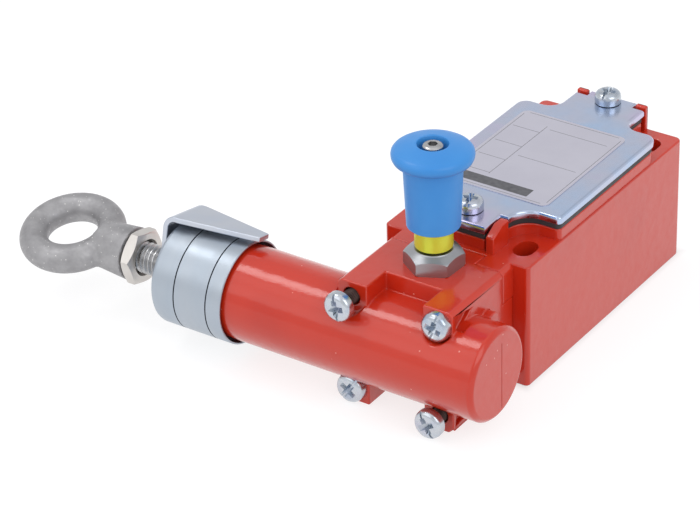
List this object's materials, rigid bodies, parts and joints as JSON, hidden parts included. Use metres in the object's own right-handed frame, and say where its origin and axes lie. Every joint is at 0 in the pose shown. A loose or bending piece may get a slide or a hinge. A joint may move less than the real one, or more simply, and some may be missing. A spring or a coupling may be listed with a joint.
{
  "type": "rope pull switch",
  "caption": "Rope pull safety switch: die-cast body with side-on head, sprung pull rod with eye nut and tension indicator, and a pull-to-reset knob.",
  "frame": {"origin": "centre of the four fixing slots, on the flat mounting face", "axes": "+Z out of the mounting face towards the cover, +Y from the operating head towards the cable inlet, the pull rod leaves towards -X"},
  "size_m": [0.1403, 0.1107, 0.0665],
  "materials": {
    "red_cast": "glossy red paint over a zinc-alloy casting",
    "black_rubber": "soft black",
    "zinc_plate": "blue-passivated zinc sheet",
    "label_foil": "light silver foil",
    "zinc_screw": "blue-passivated zinc",
    "brass_turned": "turned",
    "nickel": "nickel plated",
    "black_plastic": "moulded",
    "brass_strip": "stamped",
    "spring_wire": "drawn wire",
    "cast_eye": "grey coated casting",
    "yellow_metal": "yellow, satin",
    "blue_plastic": "matt blue",
    "white_plastic": "moulded"
  },
  "bodies": {
    "housing": {"switch_body": "red_cast", "cover_gasket": "black_rubber", "cover_plate": "zinc_plate", "rating_label": "label_foil", "cover_screws": "zinc_screw", "operating_head": "red_cast", "head_screws": "zinc_screw", "indicator_collar": "zinc_plate", "rod_bush": "brass_turned", "rod_seal": "black_rubber", "tension_spring": "spring_wire", "reset_bushing": "nickel", "reset_seal": "black_rubber", "reset_spring": "spring_wire", "plunger_seal": "black_rubber", "contact_block": "black_plastic", "fixed_contacts": "brass_strip", "terminal_clamps": "zinc_screw", "terminal_screws": "zinc_screw", "block_screws": "zinc_screw", "contact_spring": "spring_wire", "earth_screw": "brass_turned"},
    "pull_group": {"pull_rod": "zinc_screw", "lock_nut": "nickel", "eye_nut": "cast_eye", "tension_indicator": "zinc_plate", "spring_seat": "zinc_screw", "retaining_ring": "spring_wire", "cam_sleeve": "brass_turned"},
    "reset_group": {"reset_stem": "zinc_screw", "yellow_band": "yellow_metal", "reset_knob": "blue_plastic", "knob_screw": "zinc_screw"},
    "plunger_group": {"contact_plunger": "white_plastic", "contact_bridges": "brass_strip"}
  },
  "joints": [
    {"name": "rod_pull", "type": "slide", "parent": "housing", "child": "pull_group", "axis": [-1, 0, 0], "range_m": [0, 0.02], "stiffness_N_per_m": 5000, "springref_m": -0.012, "deforming": ["tension_spring"]},
    {"name": "reset_pull", "type": "slide", "parent": "housing", "child": "reset_group", "axis": [0, 0, 1], "range_m": [0, 0.006], "stiffness_N_per_m": 900, "springref_m": -0.004, "deforming": ["reset_spring"]},
    {"name": "plunger_slide", "type": "slide", "parent": "housing", "child": "plunger_group", "axis": [0, 1, 0], "range_m": [0, 0.003], "deforming": ["contact_spring"]}
  ],
  "couplings": [
    {"joint": "plunger_slide", "follows": "rod_pull", "ratio": 0.15}
  ]
}
